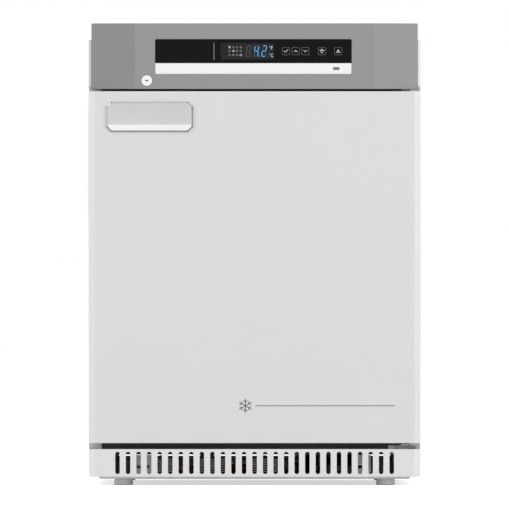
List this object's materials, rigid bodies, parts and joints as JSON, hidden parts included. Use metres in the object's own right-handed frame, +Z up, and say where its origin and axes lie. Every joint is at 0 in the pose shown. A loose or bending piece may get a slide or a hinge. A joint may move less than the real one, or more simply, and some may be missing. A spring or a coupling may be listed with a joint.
{
  "type": "undercounter laboratory freezer",
  "caption": "Undercounter laboratory freezer with a hinged door, grey control fascia with display, key lock, slotted kick grille and levelling feet.",
  "frame": {"origin": "on the floor below the middle of the cabinet", "axes": "+Z up, -Y towards the front where the door is, +X to the right seen from the front"},
  "size_m": [0.6013, 0.6442, 0.835],
  "materials": {
    "white_steel": "satin",
    "liner_white": "satin",
    "foam": "matte",
    "worktop_grey": "satin",
    "fascia_grey": "satin",
    "panel_black": "gloss",
    "strip_white": "satin",
    "plated_steel": "satin",
    "galvanised": "matte",
    "board_green": "satin",
    "bare_aluminium": "satin",
    "lock_white": "satin",
    "nylon": "satin",
    "gasket_grey": "matte",
    "foot_grey": "satin",
    "copper": "satin",
    "black_enamel": "satin",
    "black_rubber": "matte",
    "black_plastic": "satin",
    "shelf_white": "satin",
    "lamp_cover": "satin"
  },
  "bodies": {
    "cabinet": {"side_panel_left": "white_steel", "side_panel_right": "white_steel", "front_rails": "white_steel", "underside_pan": "galvanised", "top_pan": "galvanised", "back_panel": "galvanised", "inner_liner": "liner_white", "cabinet_insulation": "foam", "worktop": "worktop_grey", "control_fascia": "fascia_grey", "fascia_cheeks": "white_steel", "display_panel": "panel_black", "insert_strip": "strip_white", "usb_port": "plated_steel", "control_board": "board_green", "power_module": "bare_aluminium", "lock_barrel": "lock_white", "lock_nut": "plated_steel", "hinge_brackets": "plated_steel", "hinge_pins": "plated_steel", "kick_grille": "white_steel", "base_tray": "galvanised", "foot_nuts": "plated_steel", "condenser_fins": "bare_aluminium", "condenser_tube": "copper", "air_guides": "galvanised", "compressor": "black_enamel", "compressor_grommets": "black_rubber", "terminal_box": "black_plastic", "condenser_fan_frame": "black_plastic", "rear_cover": "galvanised", "cord_gland": "black_plastic", "water_tray": "black_plastic", "drain_tube": "nylon", "refrigerant_lines": "copper", "shelf_rails": "plated_steel", "shelf_lower": "shelf_white", "shelf_middle": "shelf_white", "shelf_upper": "shelf_white", "shelf_clips": "plated_steel", "evaporator_cover": "liner_white", "evaporator_coil": "bare_aluminium", "evaporator_fan_frame": "black_plastic", "interior_lamp": "lamp_cover", "temperature_probe": "plated_steel"},
    "door": {"door_pan": "white_steel", "door_liner": "liner_white", "door_grip": "strip_white", "door_insulation": "foam", "door_gasket": "gasket_grey", "hinge_bushes": "nylon", "lock_keeper": "nylon"},
    "lock_core": {"lock_plug": "lock_white", "lock_cam": "plated_steel"},
    "condenser_impeller": {"condenser_fan_impeller": "black_plastic"},
    "evaporator_impeller": {"evaporator_fan_impeller": "black_plastic"},
    "foot_screw_front_left": {"foot_front_left": "foot_grey"},
    "foot_screw_front_right": {"foot_front_right": "foot_grey"},
    "foot_screw_rear_left": {"foot_rear_left": "foot_grey"},
    "foot_screw_rear_right": {"foot_rear_right": "foot_grey"}
  },
  "joints": [
    {"name": "door_hinge", "type": "hinge", "parent": "cabinet", "child": "door", "pos_m": [0.287, -0.297, 0.39], "axis": [0, 0, 1], "range_deg": [0, 110]},
    {"name": "lock_turn", "type": "hinge", "parent": "cabinet", "child": "lock_core", "pos_m": [-0.1948, -0.31, 0.7315], "axis": [0, 1, 0], "range_deg": [0, 90]},
    {"name": "condenser_fan_spin", "type": "hinge", "parent": "cabinet", "child": "condenser_impeller", "pos_m": [-0.14, 0.3, 0.1205], "axis": [0, -1, 0], "continuous": true},
    {"name": "evaporator_fan_spin", "type": "hinge", "parent": "cabinet", "child": "evaporator_impeller", "pos_m": [0, 0.23, 0.5949], "axis": [0, -1, 0], "continuous": true},
    {"name": "foot_turn_front_left", "type": "hinge", "parent": "cabinet", "child": "foot_screw_front_left", "pos_m": [-0.2372, -0.27, 0.01], "axis": [0, 0, 1], "continuous": true},
    {"name": "foot_turn_front_right", "type": "hinge", "parent": "cabinet", "child": "foot_screw_front_right", "pos_m": [0.2372, -0.27, 0.01], "axis": [0, 0, 1], "continuous": true},
    {"name": "foot_turn_rear_left", "type": "hinge", "parent": "cabinet", "child": "foot_screw_rear_left", "pos_m": [-0.2372, 0.28, 0.01], "axis": [0, 0, 1], "continuous": true},
    {"name": "foot_turn_rear_right", "type": "hinge", "parent": "cabinet", "child": "foot_screw_rear_right", "pos_m": [0.2372, 0.28, 0.01], "axis": [0, 0, 1], "continuous": true}
  ]
}
